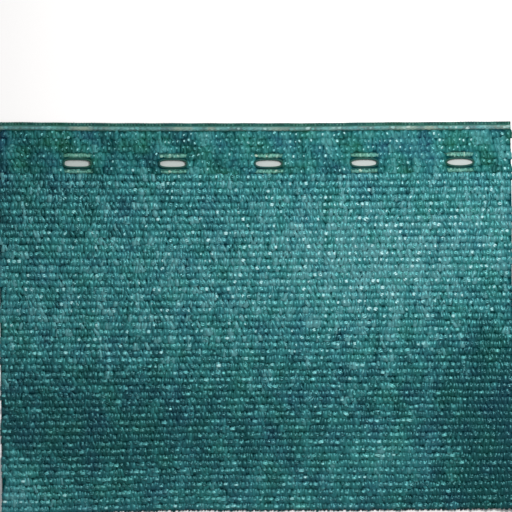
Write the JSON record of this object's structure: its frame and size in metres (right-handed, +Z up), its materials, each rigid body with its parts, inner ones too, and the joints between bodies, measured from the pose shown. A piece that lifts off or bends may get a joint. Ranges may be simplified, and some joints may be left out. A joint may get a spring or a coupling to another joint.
{
  "type": "privacy screen",
  "caption": "Ribbed knitted plastic tape net for privacy screening, a flat cut length with a reinforced buttonhole edge for ties or hooks and gently curled corners.",
  "frame": {"origin": "centre of the cloth's outline box, on the surface that it lies on", "axes": "+X along the knitted ribs, +Y towards the buttonhole edge, +Z up from the face of the cloth"},
  "size_m": [0.2686, 0.2044, 0.0062],
  "materials": {
    "knit_tape": "glossy flat plastic tape, knitted, dark teal",
    "strip_tape": "glossy plastic tape, densely knitted, dark teal",
    "edge_yarn": "satin plastic monofilament chain, pale grey teal"
  },
  "bodies": {
    "root": {"screen_panel": "knit_tape", "buttonhole_strip": "strip_tape", "edge_chain": "edge_yarn"}
  },
  "joints": []
}
